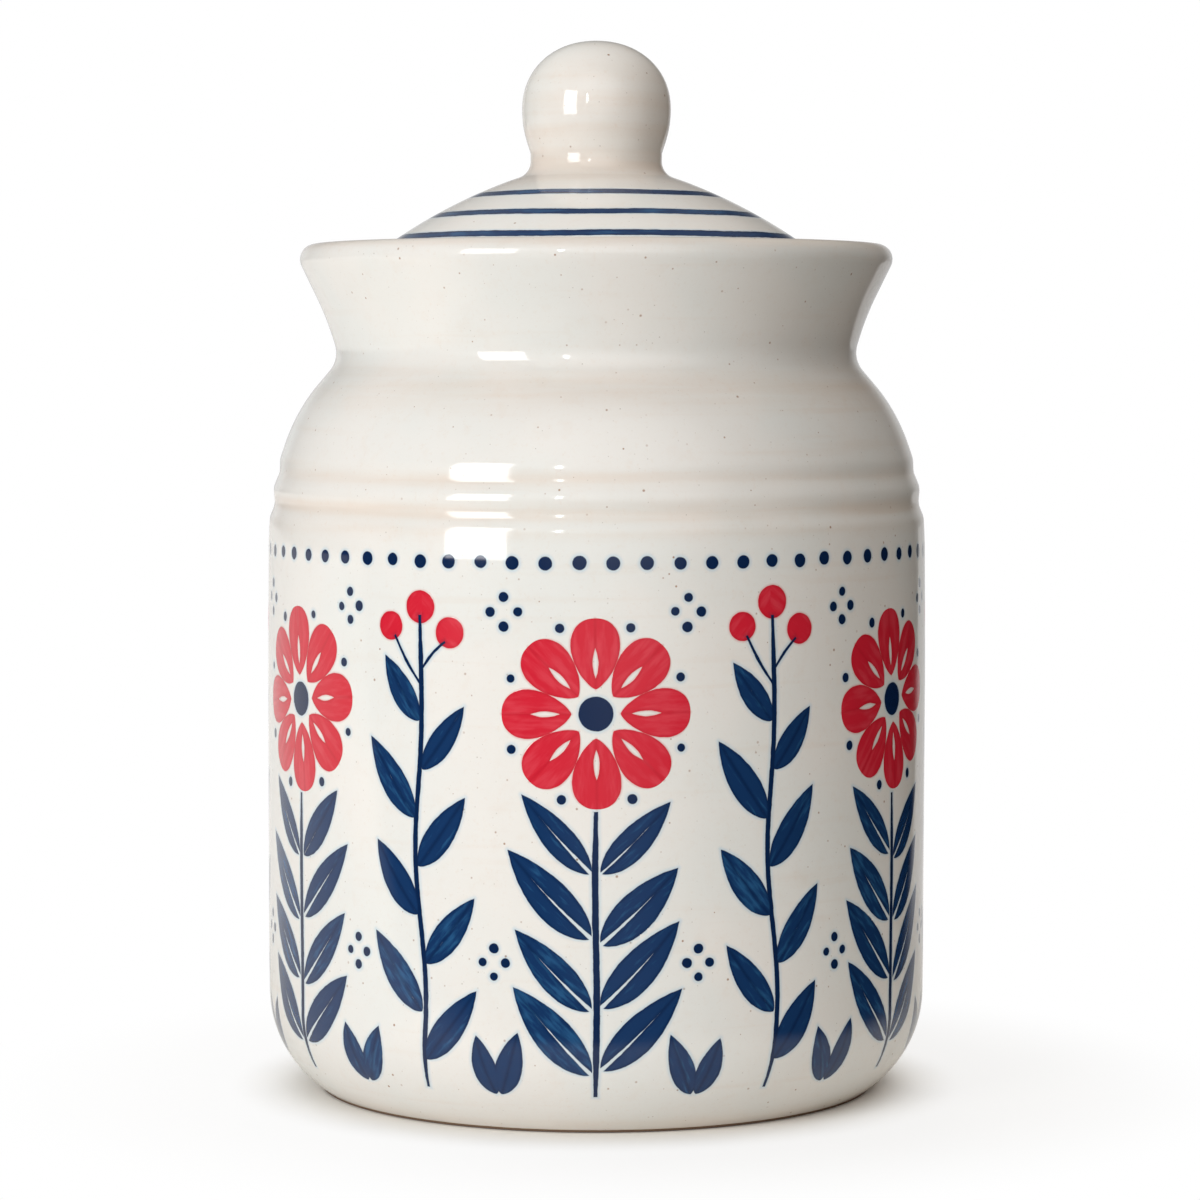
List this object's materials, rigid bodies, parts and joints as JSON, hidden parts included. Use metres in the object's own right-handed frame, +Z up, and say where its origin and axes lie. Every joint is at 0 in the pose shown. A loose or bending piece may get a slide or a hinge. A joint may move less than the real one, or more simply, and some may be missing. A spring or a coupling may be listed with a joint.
{
  "type": "storage jar",
  "caption": "Lidded ceramic storage jar: straight-walled glazed body with a tooled shoulder, a flared collar with an inner ledge, and a domed lid with a round knob.",
  "frame": {"origin": "centre of the foot ring, on the plane the jar stands on", "axes": "+Z up along the jar's axis, -Y towards the pictured front"},
  "size_m": [0.13, 0.13, 0.2058],
  "materials": {
    "jar_glaze": "glossy warm white glaze over blue and red painted decoration, bare clay foot ring",
    "lid_glaze": "glossy warm white glaze with blue banding lines"
  },
  "bodies": {
    "jar": {"jar_body": "jar_glaze"},
    "lid": {"lid": "lid_glaze", "lid_knob": "lid_glaze"}
  },
  "joints": [
    {"name": "lid_lift", "type": "slide", "parent": "jar", "child": "lid", "axis": [0, 0, 1], "range_m": [0, 0.15]}
  ]
}
